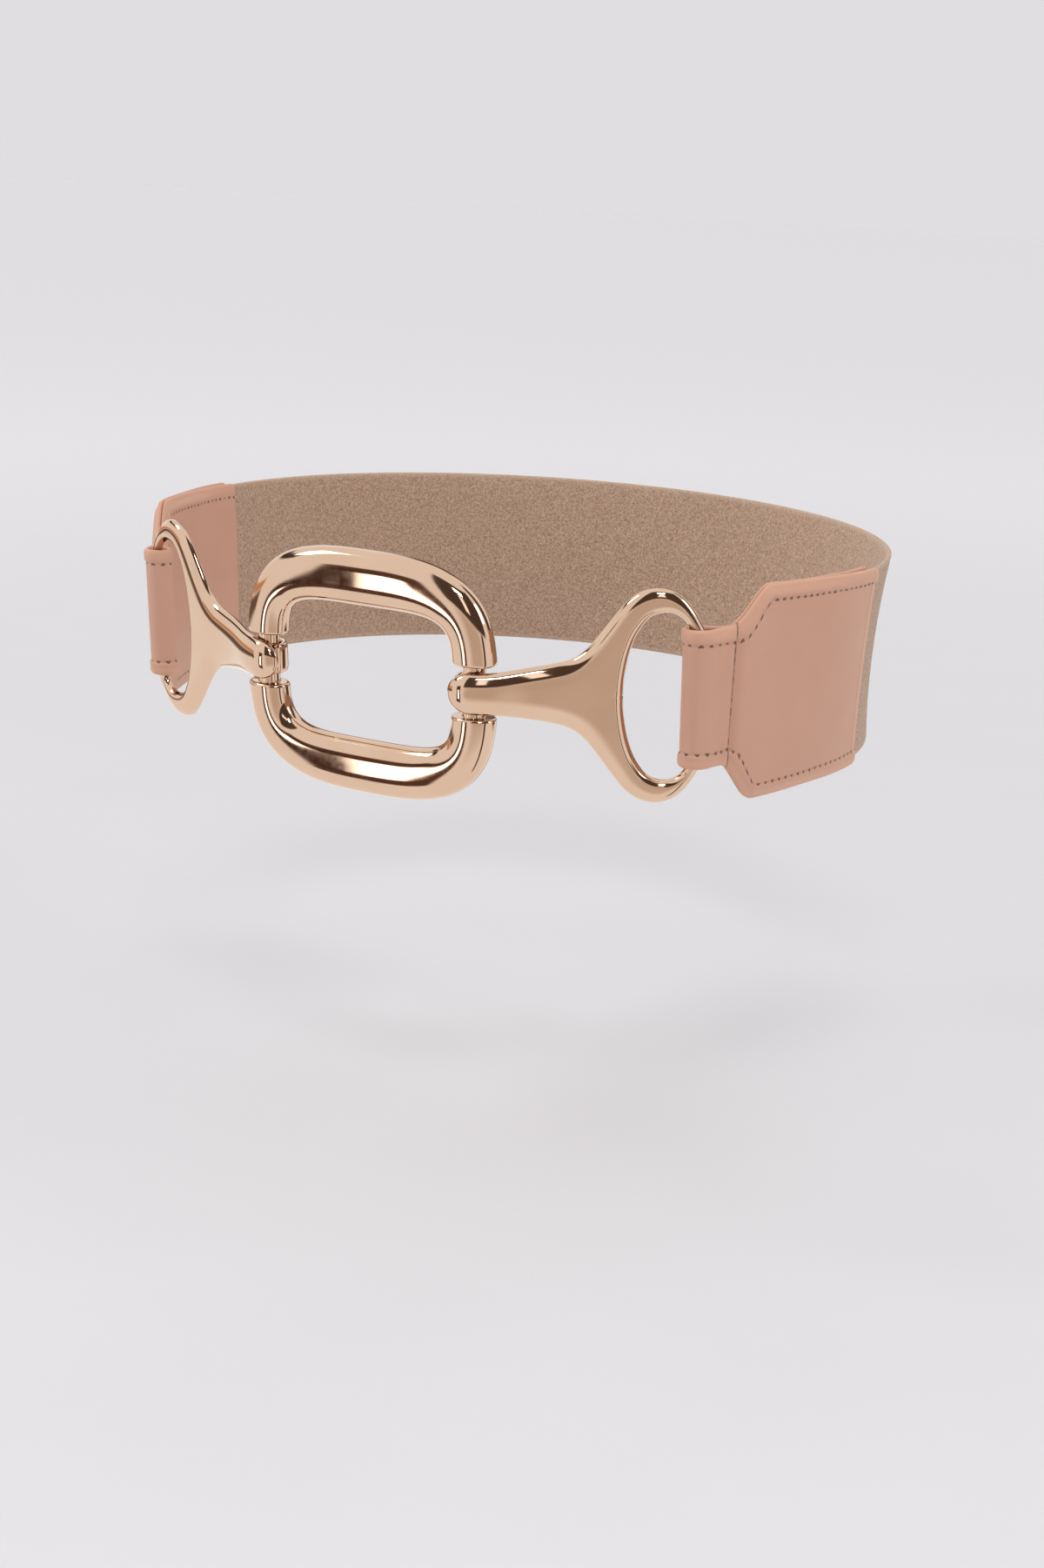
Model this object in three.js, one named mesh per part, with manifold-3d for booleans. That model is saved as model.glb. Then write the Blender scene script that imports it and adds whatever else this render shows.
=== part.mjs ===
// Elastic stretch belt with a three-part snaffle buckle, closed as it is worn round a waist.
// A rounded ring is held between two forked arms. Each arm ends in a D-shaped loop, and a leather tab
// folds round the straight bar of that loop and closes over one end of the elastic.
// Millimetres, +Z up. The ring faces -Y and +X is to its right, seen from the front.
// The origin is the centre of the waist opening, halfway up the belt.
import * as THREE from "three";
import { mergeVertices } from "three/addons/utils/BufferGeometryUtils.js";
import Module from "manifold-3d";

const { degToRad, lerp, smoothstep } = THREE.MathUtils;

// The waist loop, an ellipse through the middle of the elastic's thickness
const WAIST_HALF_WIDTH = 112.3;
const WAIST_HALF_DEPTH = 102.8;
// Angle from the middle of the front to the bar of each arm, as seen from the waist's centre
const TAB_ANGLE = degToRad(51);
// The upper edge stands out further than the lower one, and the middle is drawn in to the waist
const SIDE_LEAN = degToRad(2.3);
const BACK_LEAN = degToRad(3.1);
const WAIST_HOLLOW = 2.7;
const HOLLOW_SHARE_INSIDE = 0.74;

const ELASTIC_WIDTH = 58.6;
const ELASTIC_THICKNESS = 1.6;

// Leather, measured along the belt from the arm's bar
const LEATHER_THICKNESS = 1.2;
const TAB_HEIGHT = 40;
const SEAM_DISTANCE = 10.6;
const PANEL_LENGTH = 62;
const PANEL_HEIGHT = 62.8;
const PANEL_END_HEIGHT = 60;
const CHAMFER_LENGTH = 9;
const CHAMFER_LEAD = 3;
const PANEL_CORNER = 2.5;
// The panels are stiff, so the belt settles on the waist only at this distance from the arm's bar
const SETTLING_DISTANCE = 50;

// The ring, with a necked bar halfway up each side where the arms hold it
const RING_WIDTH = 81.4;
const RING_HEIGHT = 71.5;
const RING_TOP_BAND = 16;
const RING_SIDE_BAND = 13;
const RING_THICKNESS = 9.2;
// How square the ring is outside and inside, and how full its section is: 1 would be an oval one
const RING_OUTER_POWER = 3;
const RING_INNER_POWER = 5;
const RING_SECTION_BULGE = 0.8;
const RING_STANDOFF = 92.1;
const RING_DROP = 1.8;
const RING_LEAN = degToRad(3.9);
const RING_BOW = 1.2;
const RING_BAR_RADIUS = 3.2;
const RING_BAR_LENGTH = 14.8;

// The arms, flat castings with a hooked nose at the ring and a D-shaped loop at the leather
const ARM_THICKNESS = 5.6;
const ARM_BAR_THICKNESS = 4.2;
const ARM_BAR_WIDTH = 4;
const ARM_BAR_STANDOFF = 4;
const ARM_LEAN = degToRad(5);
const ARM_EDGE_ROUND = 1.6;
const LOOP_HEIGHT = 61.8;
const NECK_HEIGHT = 11.9;
const NOSE_REACH = 7.4;
const NOSE_RISE = 3.6;
const NOSE_RISE_RUN = 14;
const NOSE_TIP_FALL = 1.6;
const HOOK_WALL = 2;

// Play between pieces that touch on the real belt
const CLEARANCE = 0.3;
const HOOK_CLEARANCE = 0.4;

// Upper edge of an arm: share of the way from the ring's bar to the outer side of the loop's bar, and share of
// the way from the neck's half height to the loop's half height
const ARM_EDGE = [
  { along: 0, spread: 0 },
  { along: 0.097, spread: 0.008 },
  { along: 0.165, spread: 0.028 },
  { along: 0.247, spread: 0.06 },
  { along: 0.329, spread: 0.096 },
  { along: 0.412, spread: 0.15 },
  { along: 0.47, spread: 0.24 },
  { along: 0.518, spread: 0.37 },
  { along: 0.567, spread: 0.535 },
  { along: 0.615, spread: 0.7 },
  { along: 0.663, spread: 0.845 },
  { along: 0.712, spread: 0.94 },
  { along: 0.76, spread: 0.988 },
  { along: 0.809, spread: 1 },
  { along: 0.857, spread: 0.972 },
  { along: 0.906, spread: 0.895 },
  { along: 0.944, spread: 0.79 },
  { along: 0.973, spread: 0.675 },
];

// Upper half of the half-moon slot: share of the way from the ring's bar to the inner side of the loop's bar,
// and share of the loop's half height
const SLOT_EDGE = [
  { along: 0.697, rise: 0 },
  { along: 0.701, rise: 0.16 },
  { along: 0.718, rise: 0.36 },
  { along: 0.743, rise: 0.52 },
  { along: 0.774, rise: 0.635 },
  { along: 0.812, rise: 0.727 },
  { along: 0.858, rise: 0.771 },
  { along: 0.91, rise: 0.778 },
  { along: 0.956, rise: 0.742 },
  { along: 0.987, rise: 0.68 },
];

// The softened corner's height against its length, the rounding of the nose's tip, and how far up the arm's
// bar the slot ends
const CORNER_SHARE = 0.5;
const NOSE_TIP_BULGE = 0.9;
const SLOT_END_SHARE = 0.93;

// How finely each surface is divided. The leather's stations crowd towards the fold.
const WELD_DISTANCE = 1e-4;
const LOOP_DIVISIONS = 600;
const STATION_CROWDING = 1.5;
const RING_STATIONS = 64;
const RING_SECTION_SIDES = 14;
const BAR_SIDES = 20;
const ELASTIC_STATIONS = 76;
const ELASTIC_ROWS = 6;
const PANEL_STATIONS = 26;
const FOLD_STATIONS = 8;
const LEATHER_ROWS = 4;
const NOSE_STATIONS = 7;

const gold = { color: 0xe3b394, roughness: 0.16, metalness: 1 };
const leather = { color: 0xc79a84, roughness: 0.55, metalness: 0 };
const elasticCloth = { color: 0xc2a288, roughness: 0.9, metalness: 0 };

const wasm = await Module();
wasm.setup();

// A closed three.js geometry as a solid that can be joined and cut
function solidOf(geometry) {
  const bare = geometry.clone();
  bare.deleteAttribute("normal");
  bare.deleteAttribute("uv");
  const merged = mergeVertices(bare, WELD_DISTANCE);
  return new wasm.Manifold(
    new wasm.Mesh({
      numProp: 3,
      vertProperties: merged.attributes.position.array,
      triVerts: new Uint32Array(merged.index.array),
    }),
  );
}

function geometryOf(solid) {
  const mesh = solid.getMesh();
  const geometry = new THREE.BufferGeometry();
  geometry.setAttribute("position", new THREE.BufferAttribute(mesh.vertProperties, 3));
  geometry.setIndex(new THREE.BufferAttribute(mesh.triVerts, 1));
  geometry.computeVertexNormals();
  return geometry;
}

function meshOf(name, geometry, material) {
  const mesh = new THREE.Mesh(geometry, new THREE.MeshStandardMaterial(material));
  mesh.name = name;
  return mesh;
}

// A box between two corners
function boxBetween(low, high) {
  const size = new THREE.Vector3().subVectors(high, low);
  const box = new THREE.BoxGeometry(size.x, size.y, size.z);
  const middle = new THREE.Vector3().addVectors(low, high).multiplyScalar(0.5);
  return box.translate(middle.x, middle.y, middle.z);
}

// An upright cylinder centred on a point
function uprightBar(radius, height, centre) {
  const bar = new THREE.CylinderGeometry(radius, radius, height, BAR_SIDES);
  return bar.rotateX(Math.PI / 2).translate(centre.x, centre.y, centre.z);
}

// The waist loop runs from the right arm's bar, round the back, to the left arm's bar
const QUARTER = Math.PI / 2;
const waistLoop = new THREE.EllipseCurve(
  0, 0, WAIST_HALF_WIDTH, WAIST_HALF_DEPTH, TAB_ANGLE - QUARTER, 3 * QUARTER - TAB_ANGLE,
);
waistLoop.arcLengthDivisions = LOOP_DIVISIONS;
const LOOP_LENGTH = waistLoop.getLength();

// Point, direction and outward normal of the loop at a distance along it, straight on before its start
function loopFrame(distance) {
  const onLoop = Math.min(Math.max(distance, 0), LOOP_LENGTH);
  const at = waistLoop.getUtoTmapping(0, onLoop);
  const tangent = waistLoop.getTangent(at);
  const point = waistLoop.getPoint(at).addScaledVector(tangent, distance - onLoop);
  return {
    point: new THREE.Vector3(point.x, point.y, 0),
    normal: new THREE.Vector3(tangent.y, -tangent.x, 0),
  };
}

// Where the ring hangs, and the middle of its right-hand bar
const ringGroup = new THREE.Group();
ringGroup.position.set(0, -RING_STANDOFF, -RING_DROP);
ringGroup.rotation.x = RING_LEAN;
ringGroup.updateMatrixWorld();
const RING_BAR_X = (RING_WIDTH - RING_SIDE_BAND) / 2;
const ringBow = (x) => RING_BOW * (x / (RING_WIDTH / 2)) ** 2;
const ringBar = new THREE.Vector3(RING_BAR_X, ringBow(RING_BAR_X), 0);

// The right arm's frame: X from the ring's bar to its own bar, Z up along both bars, -Y outwards
const tabStart = loopFrame(0);
const armBar = tabStart.point.clone().addScaledVector(tabStart.normal, ARM_BAR_STANDOFF);
const armStart = ringGroup.localToWorld(ringBar.clone());
const armAxis = new THREE.Vector3().subVectors(armBar, armStart);
const ARM_LENGTH = armAxis.length();
armAxis.normalize();
const armRise = tabStart.normal.clone().multiplyScalar(Math.sin(ARM_LEAN));
armRise.z = Math.cos(ARM_LEAN);
armRise.addScaledVector(armAxis, -armRise.dot(armAxis)).normalize();
const armInward = new THREE.Vector3().crossVectors(armRise, armAxis);
const armFrame = new THREE.Matrix4().makeBasis(armAxis, armInward, armRise).setPosition(armStart);

// Half the space between the two leather layers, to the middle of each: open round the arm's bar, pinched
// at the seam behind it, then open again for the elastic
const ARM_BAR_RADIUS = Math.hypot(
  ARM_BAR_WIDTH / 2 - ARM_EDGE_ROUND,
  ARM_BAR_THICKNESS / 2 - (ARM_EDGE_ROUND * ARM_BAR_THICKNESS) / ARM_THICKNESS,
) + ARM_EDGE_ROUND;
const FOLD_RADIUS = ARM_BAR_RADIUS + CLEARANCE + LEATHER_THICKNESS / 2;
const SEAM_GAP = (LEATHER_THICKNESS + CLEARANCE) / 2;
const PANEL_GAP = (ELASTIC_THICKNESS + LEATHER_THICKNESS) / 2 + CLEARANCE;
const ELASTIC_INSET = 2;
const ELASTIC_START = SEAM_DISTANCE + 2 * ELASTIC_INSET;
const PANEL_END = SEAM_DISTANCE + PANEL_LENGTH;

function leatherGap(distance) {
  const closing = smoothstep(distance, FOLD_RADIUS / 2, SEAM_DISTANCE);
  const opening = smoothstep(distance, SEAM_DISTANCE, ELASTIC_START - ELASTIC_INSET / 2);
  return lerp(lerp(FOLD_RADIUS, SEAM_GAP, closing), PANEL_GAP, opening);
}

// A point of the strap: along the belt from the arm's bar, out from its middle layer, and up from half height.
// Next to the bar its height runs along that bar, and further on it leans and hollows with the waist.
function strapPoint(distance, out, height) {
  const { point, normal } = loopFrame(distance);
  const fromBar = Math.min(distance, LOOP_LENGTH - distance);
  const lean = lerp(SIDE_LEAN, BACK_LEAN, smoothstep(fromBar, PANEL_END / 2, 2 * PANEL_END));
  const hollow = WAIST_HOLLOW * smoothstep(fromBar, PANEL_END / 2, 2 * PANEL_END);
  const bend = hollow * ((2 * height / ELASTIC_WIDTH) ** 2 - HOLLOW_SHARE_INSIDE);
  const rise = normal.clone().multiplyScalar(Math.sin(lean)).setZ(Math.cos(lean));
  rise.lerpVectors(armRise, rise, smoothstep(fromBar, FOLD_RADIUS, ELASTIC_START)).normalize();
  const standoff = ARM_BAR_STANDOFF * (1 - smoothstep(fromBar, 0, SETTLING_DISTANCE));
  return point.addScaledVector(normal, out + standoff + bend).addScaledVector(rise, height);
}

// Joins sections of points into a closed skin: each section is a column outside and one inside, both
// counted from the lower edge, and the first and last sections are closed across
function stripSolid(sections) {
  const rows = sections[0].outer.length;
  const size = 2 * rows;
  const points = sections.flatMap(({ outer, inner }) => [...outer, ...inner.toReversed()]);
  const faces = [];
  const quad = (a, b, c, d) => faces.push(a, b, c, a, c, d);
  for (let i = 0; i + 1 < sections.length; i++) {
    for (let j = 0; j < size; j++) {
      const next = (j + 1) % size;
      quad(i * size + j, (i + 1) * size + j, (i + 1) * size + next, i * size + next);
    }
  }
  const last = (sections.length - 1) * size;
  for (let j = 0; j + 1 < rows; j++) {
    const across = size - 1 - j;
    quad(j, j + 1, across - 1, across);
    quad(last + j + 1, last + j, last + across, last + across - 1);
  }
  const geometry = new THREE.BufferGeometry().setFromPoints(points);
  geometry.setIndex(faces);
  geometry.computeVertexNormals();
  return geometry;
}

// Woven elastic from inside one leather panel, round the back, to inside the other
function elasticBand() {
  const run = LOOP_LENGTH - 2 * ELASTIC_START;
  const sections = Array.from({ length: ELASTIC_STATIONS + 1 }, (_, i) => {
    const distance = ELASTIC_START + (run * i) / ELASTIC_STATIONS;
    const column = (out) =>
      Array.from({ length: ELASTIC_ROWS + 1 }, (_, j) =>
        strapPoint(distance, out, ELASTIC_WIDTH * (j / ELASTIC_ROWS - 0.5)),
      );
    return { outer: column(ELASTIC_THICKNESS / 2), inner: column(-ELASTIC_THICKNESS / 2) };
  });
  return stripSolid(sections);
}

// Half the leather's height: the narrow tab, a slanted shoulder, then the panel with a softened end corner
function leatherHalfHeight(distance) {
  const shoulder = smoothstep(
    distance, SEAM_DISTANCE - CHAMFER_LEAD, SEAM_DISTANCE - CHAMFER_LEAD + CHAMFER_LENGTH,
  );
  const taper = Math.max(0, distance - SEAM_DISTANCE) / PANEL_LENGTH;
  const panel = lerp(PANEL_HEIGHT, PANEL_END_HEIGHT, taper) / 2;
  const intoCorner = Math.max(0, distance - (PANEL_END - PANEL_CORNER));
  const corner = PANEL_CORNER - Math.sqrt(Math.max(0, PANEL_CORNER ** 2 - intoCorner ** 2));
  return lerp(TAB_HEIGHT / 2, panel, shoulder) - corner * CORNER_SHARE;
}

// One piece of leather: the front panel and its tab, folded round the arm's bar and back behind the elastic
function leatherTab() {
  const front = Array.from({ length: PANEL_STATIONS + 1 }, (_, i) =>
    PANEL_END * Math.sin((QUARTER * (PANEL_STATIONS - i)) / PANEL_STATIONS) ** STATION_CROWDING,
  );
  const path = front.map((distance) => ({ distance, out: leatherGap(distance) }));
  for (let i = 1; i < FOLD_STATIONS; i++) {
    const turn = (Math.PI * i) / FOLD_STATIONS;
    path.push({ distance: -FOLD_RADIUS * Math.sin(turn), out: FOLD_RADIUS * Math.cos(turn) });
  }
  for (const distance of front.toReversed()) {
    path.push({ distance, out: -leatherGap(distance) });
  }
  const sections = path.map(({ distance, out }, i) => {
    const before = path[Math.max(i - 1, 0)];
    const after = path[Math.min(i + 1, path.length - 1)];
    const direction = new THREE.Vector2(after.distance - before.distance, after.out - before.out);
    direction.normalize().multiplyScalar(LEATHER_THICKNESS / 2);
    const half = leatherHalfHeight(distance);
    const column = (side) =>
      Array.from({ length: LEATHER_ROWS + 1 }, (_, j) =>
        strapPoint(
          distance + side * direction.y,
          out - side * direction.x,
          half * ((2 * j) / LEATHER_ROWS - 1),
        ),
      );
    return { outer: column(-1), inner: column(1) };
  });
  return stripSolid(sections);
}

// Distance from the middle of a rounded rectangle of unit half sizes to its edge, in one direction
function roundedReach(cosine, sine, power) {
  return (Math.abs(cosine) ** power + Math.abs(sine) ** power) ** (-1 / power);
}

const bulge = (value, power) => Math.sign(value) * Math.abs(value) ** power;

// The cast ring: a puffed section carried round a rounded rectangle, wide at top and bottom, with a plain
// round bar let in halfway up each side
function buckleRing() {
  const innerWidth = RING_WIDTH - 2 * RING_SIDE_BAND;
  const innerHeight = RING_HEIGHT - 2 * RING_TOP_BAND;
  const points = [];
  const faces = [];
  for (let i = 0; i < RING_STATIONS; i++) {
    const angle = (2 * Math.PI * (i + 0.5)) / RING_STATIONS;
    const [c, s] = [Math.cos(angle), Math.sin(angle)];
    const outer = roundedReach(c, s, RING_OUTER_POWER) / 2;
    const inner = roundedReach(c, s, RING_INNER_POWER) / 2;
    const nextStation = (i + 1) % RING_STATIONS;
    for (let j = 0; j < RING_SECTION_SIDES; j++) {
      const turn = (2 * Math.PI * j) / RING_SECTION_SIDES;
      const share = (1 + bulge(Math.cos(turn), RING_SECTION_BULGE)) / 2;
      const x = c * lerp(inner * innerWidth, outer * RING_WIDTH, share);
      const z = s * lerp(inner * innerHeight, outer * RING_HEIGHT, share);
      const out = (RING_THICKNESS / 2) * bulge(Math.sin(turn), RING_SECTION_BULGE);
      points.push(new THREE.Vector3(x, ringBow(x) - out, z));
      const nextSide = (j + 1) % RING_SECTION_SIDES;
      const [a, b] = [i * RING_SECTION_SIDES + j, nextStation * RING_SECTION_SIDES + j];
      const [d, e] = [i * RING_SECTION_SIDES + nextSide, nextStation * RING_SECTION_SIDES + nextSide];
      faces.push(a, b, e, a, e, d);
    }
  }
  const torus = new THREE.BufferGeometry().setFromPoints(points);
  torus.setIndex(faces);
  let ring = solidOf(torus);
  for (const side of [-1, 1]) {
    const reach = new THREE.Vector3(RING_SIDE_BAND, RING_THICKNESS, RING_BAR_LENGTH / 2);
    const centre = new THREE.Vector3(side * ringBar.x, ringBar.y, 0);
    const gap = boxBetween(centre.clone().sub(reach), centre.clone().add(reach));
    const bar = uprightBar(RING_BAR_RADIUS, RING_BAR_LENGTH + 2 * RING_BAR_RADIUS, centre);
    ring = ring.subtract(solidOf(gap)).add(solidOf(bar));
  }
  return geometryOf(ring);
}

// The arm's outline as seen from the front, with its nose, neck and loop, and the half-moon slot
function armShape() {
  const neck = NECK_HEIGHT / 2;
  const loop = LOOP_HEIGHT / 2;
  const barOuter = ARM_LENGTH + ARM_BAR_WIDTH / 2;
  const barInner = ARM_LENGTH - ARM_BAR_WIDTH / 2;
  const barEnd = TAB_HEIGHT / 2 - CLEARANCE;
  const edge = new THREE.SplineCurve([
    ...ARM_EDGE.map(({ along, spread }) => new THREE.Vector2(along * barOuter, lerp(neck, loop, spread))),
    new THREE.Vector2(barOuter, barEnd),
  ]);
  const slotEdge = new THREE.SplineCurve([
    ...SLOT_EDGE.map(({ along, rise }) => new THREE.Vector2(along * barInner, rise * loop)),
    new THREE.Vector2(barInner, barEnd * SLOT_END_SHARE),
  ]);
  const nose = Array.from({ length: NOSE_STATIONS }, (_, i) => {
    const turn = (QUARTER * i) / NOSE_STATIONS;
    return new THREE.Vector2(-NOSE_REACH * Math.cos(turn), neck * bulge(Math.sin(turn), NOSE_TIP_BULGE));
  });
  const upper = [...nose, ...edge.getPoints(2 * ARM_EDGE.length)];
  const slotUpper = slotEdge.getPoints(2 * SLOT_EDGE.length);
  const flip = (p) => new THREE.Vector2(p.x, -p.y);
  const shape = new THREE.Shape([...upper, ...upper.slice(1).map(flip).toReversed()]);
  const slot = [...slotUpper, ...slotUpper.slice(1).map(flip).toReversed()];
  shape.holes.push(new THREE.Path(slot.toReversed()));
  return shape;
}

// The nose stands forward to lie over the ring's bar and bends back at its tip
function armOut(along, out) {
  const fromNose = Math.max(0, along) / NOSE_RISE_RUN;
  const rise = NOSE_RISE * Math.exp(-(fromNose ** 2));
  const fall = NOSE_TIP_FALL * (Math.max(0, -along) / NOSE_REACH) ** 2;
  const towardsBar = smoothstep(along, ARM_LENGTH / 2, ARM_LENGTH - ARM_BAR_WIDTH);
  return rise - fall + out * lerp(1, ARM_BAR_THICKNESS / ARM_THICKNESS, towardsBar);
}

// A cast arm: its flat outline with rounded edges, bent forward at the nose, with an eye round the ring's bar.
// The eye is whole on the fixed arm, and open behind as a hook on the arm that comes off.
function buckleArm(isHook) {
  const shape = armShape();
  const plate = new THREE.ExtrudeGeometry(shape, {
    depth: ARM_THICKNESS - 2 * ARM_EDGE_ROUND,
    steps: 1,
    curveSegments: 1,
    bevelEnabled: true,
    bevelSize: ARM_EDGE_ROUND,
    bevelOffset: -ARM_EDGE_ROUND,
    bevelThickness: ARM_EDGE_ROUND,
    bevelSegments: 2,
  });
  plate.translate(0, 0, ARM_EDGE_ROUND - ARM_THICKNESS / 2).rotateX(QUARTER);
  const position = plate.attributes.position;
  for (let i = 0; i < position.count; i++) {
    position.setY(i, -armOut(position.getX(i), -position.getY(i)));
  }
  const eyeRadius = RING_BAR_RADIUS + HOOK_CLEARANCE;
  const origin = new THREE.Vector3();
  const eye = uprightBar(eyeRadius + HOOK_WALL, NECK_HEIGHT - 2 * ARM_EDGE_ROUND, origin);
  const hole = uprightBar(eyeRadius, 2 * RING_BAR_LENGTH, origin);
  let arm = solidOf(plate).add(solidOf(eye)).subtract(solidOf(hole));
  if (isHook) {
    const low = new THREE.Vector3(0, 0, -NECK_HEIGHT);
    const high = new THREE.Vector3(2 * eyeRadius, 2 * eyeRadius, NECK_HEIGHT);
    arm = arm.subtract(solidOf(boxBetween(low, high)));
  }
  return geometryOf(arm);
}

const belt = new THREE.Group();
ringGroup.add(meshOf("buckle_ring", buckleRing(), gold));
belt.add(ringGroup, meshOf("elastic_band", elasticBand(), elasticCloth));
for (const { name, mirror, isHook } of [
  { name: "right", mirror: 1, isHook: true },
  { name: "left", mirror: -1, isHook: false },
]) {
  const side = new THREE.Group();
  side.scale.x = mirror;
  const arm = meshOf(`buckle_arm_${name}`, buckleArm(isHook), gold);
  arm.applyMatrix4(armFrame);
  side.add(arm, meshOf(`leather_tab_${name}`, leatherTab(), leather));
  belt.add(side);
}

export default belt;
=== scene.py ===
"""Elastic stretch belt with a snaffle buckle, closed as it is worn round a waist.

Points are worked out in millimetres in the row frame: +Z up, the ring towards -Y and +X to its right.
"""

import math

import bmesh
import bpy
import numpy as np
from mathutils import Matrix, Vector


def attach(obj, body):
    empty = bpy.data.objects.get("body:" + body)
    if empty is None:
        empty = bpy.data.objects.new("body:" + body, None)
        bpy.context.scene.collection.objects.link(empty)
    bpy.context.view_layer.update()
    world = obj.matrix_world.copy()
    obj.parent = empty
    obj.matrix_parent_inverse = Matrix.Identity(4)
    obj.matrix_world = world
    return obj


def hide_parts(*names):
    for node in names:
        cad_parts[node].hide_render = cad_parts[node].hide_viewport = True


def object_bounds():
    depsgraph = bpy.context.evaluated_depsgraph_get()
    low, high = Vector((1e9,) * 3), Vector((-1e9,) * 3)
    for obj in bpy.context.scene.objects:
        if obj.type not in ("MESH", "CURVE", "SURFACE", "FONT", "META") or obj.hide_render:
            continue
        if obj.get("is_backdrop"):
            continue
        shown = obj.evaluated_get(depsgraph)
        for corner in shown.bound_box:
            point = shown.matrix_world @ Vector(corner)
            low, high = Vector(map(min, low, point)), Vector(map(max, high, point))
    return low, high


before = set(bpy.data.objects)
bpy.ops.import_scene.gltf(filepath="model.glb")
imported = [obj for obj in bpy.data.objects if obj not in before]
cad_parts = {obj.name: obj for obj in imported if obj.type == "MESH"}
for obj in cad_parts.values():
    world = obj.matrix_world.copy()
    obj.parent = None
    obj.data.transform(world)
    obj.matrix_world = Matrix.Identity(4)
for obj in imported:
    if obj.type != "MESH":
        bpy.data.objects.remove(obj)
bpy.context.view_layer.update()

# The ring of the buckle is one puffed zinc casting, plated in light rose gold and polished. Halfway up each
# side it is cut back to a round bar, and the arms turn on these bars.
MM = 0.001
RING_WIDTH = 81.4
RING_HEIGHT = 71.5
RING_TOP_BAND = 16
RING_SIDE_BAND = 13
RING_THICKNESS = 9.2
RING_OUTER_POWER = 3
RING_INNER_POWER = 5
RING_SECTION_BULGE = 0.92
RING_STANDOFF = 92.1
RING_DROP = 1.8
RING_LEAN = math.radians(3.9)
RING_BOW = 1.2
RING_BAR_RADIUS = 3.2
RING_BAR_LENGTH = 14.8
RING_END_ROUND = 0.9
RING_FOOT_ROUND = 0.25
QUARTER_STATIONS = 72
FILLET_STATIONS = 7
BAR_STATIONS = 6
SECTION_SIDES = 72
WELD_DISTANCE = 0.0005


def grid_faces(rows, columns, first=0, closed_rows=False, closed_columns=False):
    """Quads between neighbours of a grid of points that is numbered row by row from first. A closed grid
    joins its last row or column to its first."""
    i = np.arange(rows if closed_rows else rows - 1)[:, None]
    j = np.arange(columns if closed_columns else columns - 1)[None, :]
    below, right = (i + 1) % rows, (j + 1) % columns
    corners = [i * columns + j, below * columns + j, below * columns + right, i * columns + right]
    return np.stack(corners, axis=-1).reshape(-1, 4) + first


def closed_piece(name, points, faces, material, marks=None):
    """A smooth object from points in millimetres. Points at the same place are welded, and the faces of the
    closed shells are turned outwards. marks are named values for each point, one number or three."""
    mesh = bpy.data.meshes.new(name)
    mesh.from_pydata((np.reshape(points, (-1, 3)) * MM).tolist(), [], faces.tolist())
    for title, values in (marks or {}).items():
        kind, slot = ("FLOAT", "value") if np.ndim(values) == 1 else ("FLOAT_VECTOR", "vector")
        mesh.attributes.new(title, kind, "POINT").data.foreach_set(slot, np.ravel(values))
    shell = bmesh.new()
    shell.from_mesh(mesh)
    bmesh.ops.remove_doubles(shell, verts=shell.verts, dist=WELD_DISTANCE * MM)
    bmesh.ops.recalc_face_normals(shell, faces=shell.faces)
    shell.to_mesh(mesh)
    shell.free()
    mesh.shade_smooth()
    mesh.materials.append(material)
    piece = bpy.data.objects.new(name, mesh)
    bpy.context.scene.collection.objects.link(piece)
    return piece


def linear(code):
    """sRGB hex colour as linear red, green, blue and alpha."""
    share = [int(code[i : i + 2], 16) / 255 for i in (1, 3, 5)]
    return (*(s / 12.92 if s <= 0.04045 else ((s + 0.055) / 1.055) ** 2.4 for s in share), 1)


def add(tree, kind, inputs=None, **settings):
    """Adds a node. inputs gives each of its sockets a value, or the output that feeds it."""
    node = tree.nodes.new("ShaderNode" + kind)
    for title, value in settings.items():
        setattr(node, title, value)
    for title, value in (inputs or {}).items():
        if isinstance(value, bpy.types.NodeSocket):
            tree.links.new(value, node.inputs[title])
        else:
            node.inputs[title].default_value = value
    return node


def new_material(name):
    """A node material that is empty but for its output."""
    material = bpy.data.materials.new(name)
    material.use_nodes = True
    material.node_tree.nodes.clear()
    return material, material.node_tree, add(material.node_tree, "OutputMaterial")


# Light rose gold plate over a hand-polished zinc casting: a mirror that wavers a little over the casting's
# swells, with faint wiping marks that soften the reflection here and there.
rose_gold, tree, output = new_material("polished_rose_gold_plate")
SWELL_MM = 14
SWELL_DEPTH_MM = 0.05
WIPE_MM = 5
place = add(tree, "TexCoord").outputs["Object"]
swell = add(tree, "TexNoise", {"Vector": place, "Scale": 1 / (SWELL_MM * MM), "Detail": 1})
wipe = add(tree, "TexNoise", {"Vector": place, "Scale": 1 / (WIPE_MM * MM), "Detail": 6, "Roughness": 0.7})
wear = add(tree, "MapRange", {"Value": wipe.outputs["Fac"], "From Min": 0.35, "From Max": 0.75,
                              "To Min": 0.05, "To Max": 0.11})
waver = add(tree, "Bump", {"Height": swell.outputs["Fac"], "Strength": 1, "Distance": SWELL_DEPTH_MM * MM})
tone = add(tree, "Mix", {"Factor": swell.outputs["Fac"], "A": linear("#D0B39B"), "B": linear("#C8A990")},
           data_type="RGBA")
gloss = add(tree, "BsdfPrincipled", {"Base Color": tone.outputs[2], "Metallic": 1,
                                     "Roughness": wear.outputs["Result"], "Normal": waver.outputs["Normal"]})
tree.links.new(gloss.outputs["BSDF"], output.inputs["Surface"])


def rounded_edge(angle, half_width, half_height, power):
    """Point of the rounded rectangle |x / half width|^power + |z / half height|^power = 1."""
    c, s = np.cos(angle), np.sin(angle)
    reach = (np.abs(c) ** power + np.abs(s) ** power) ** (-1 / power)
    return np.stack([c * reach * half_width, s * reach * half_height], axis=-1)


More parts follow.
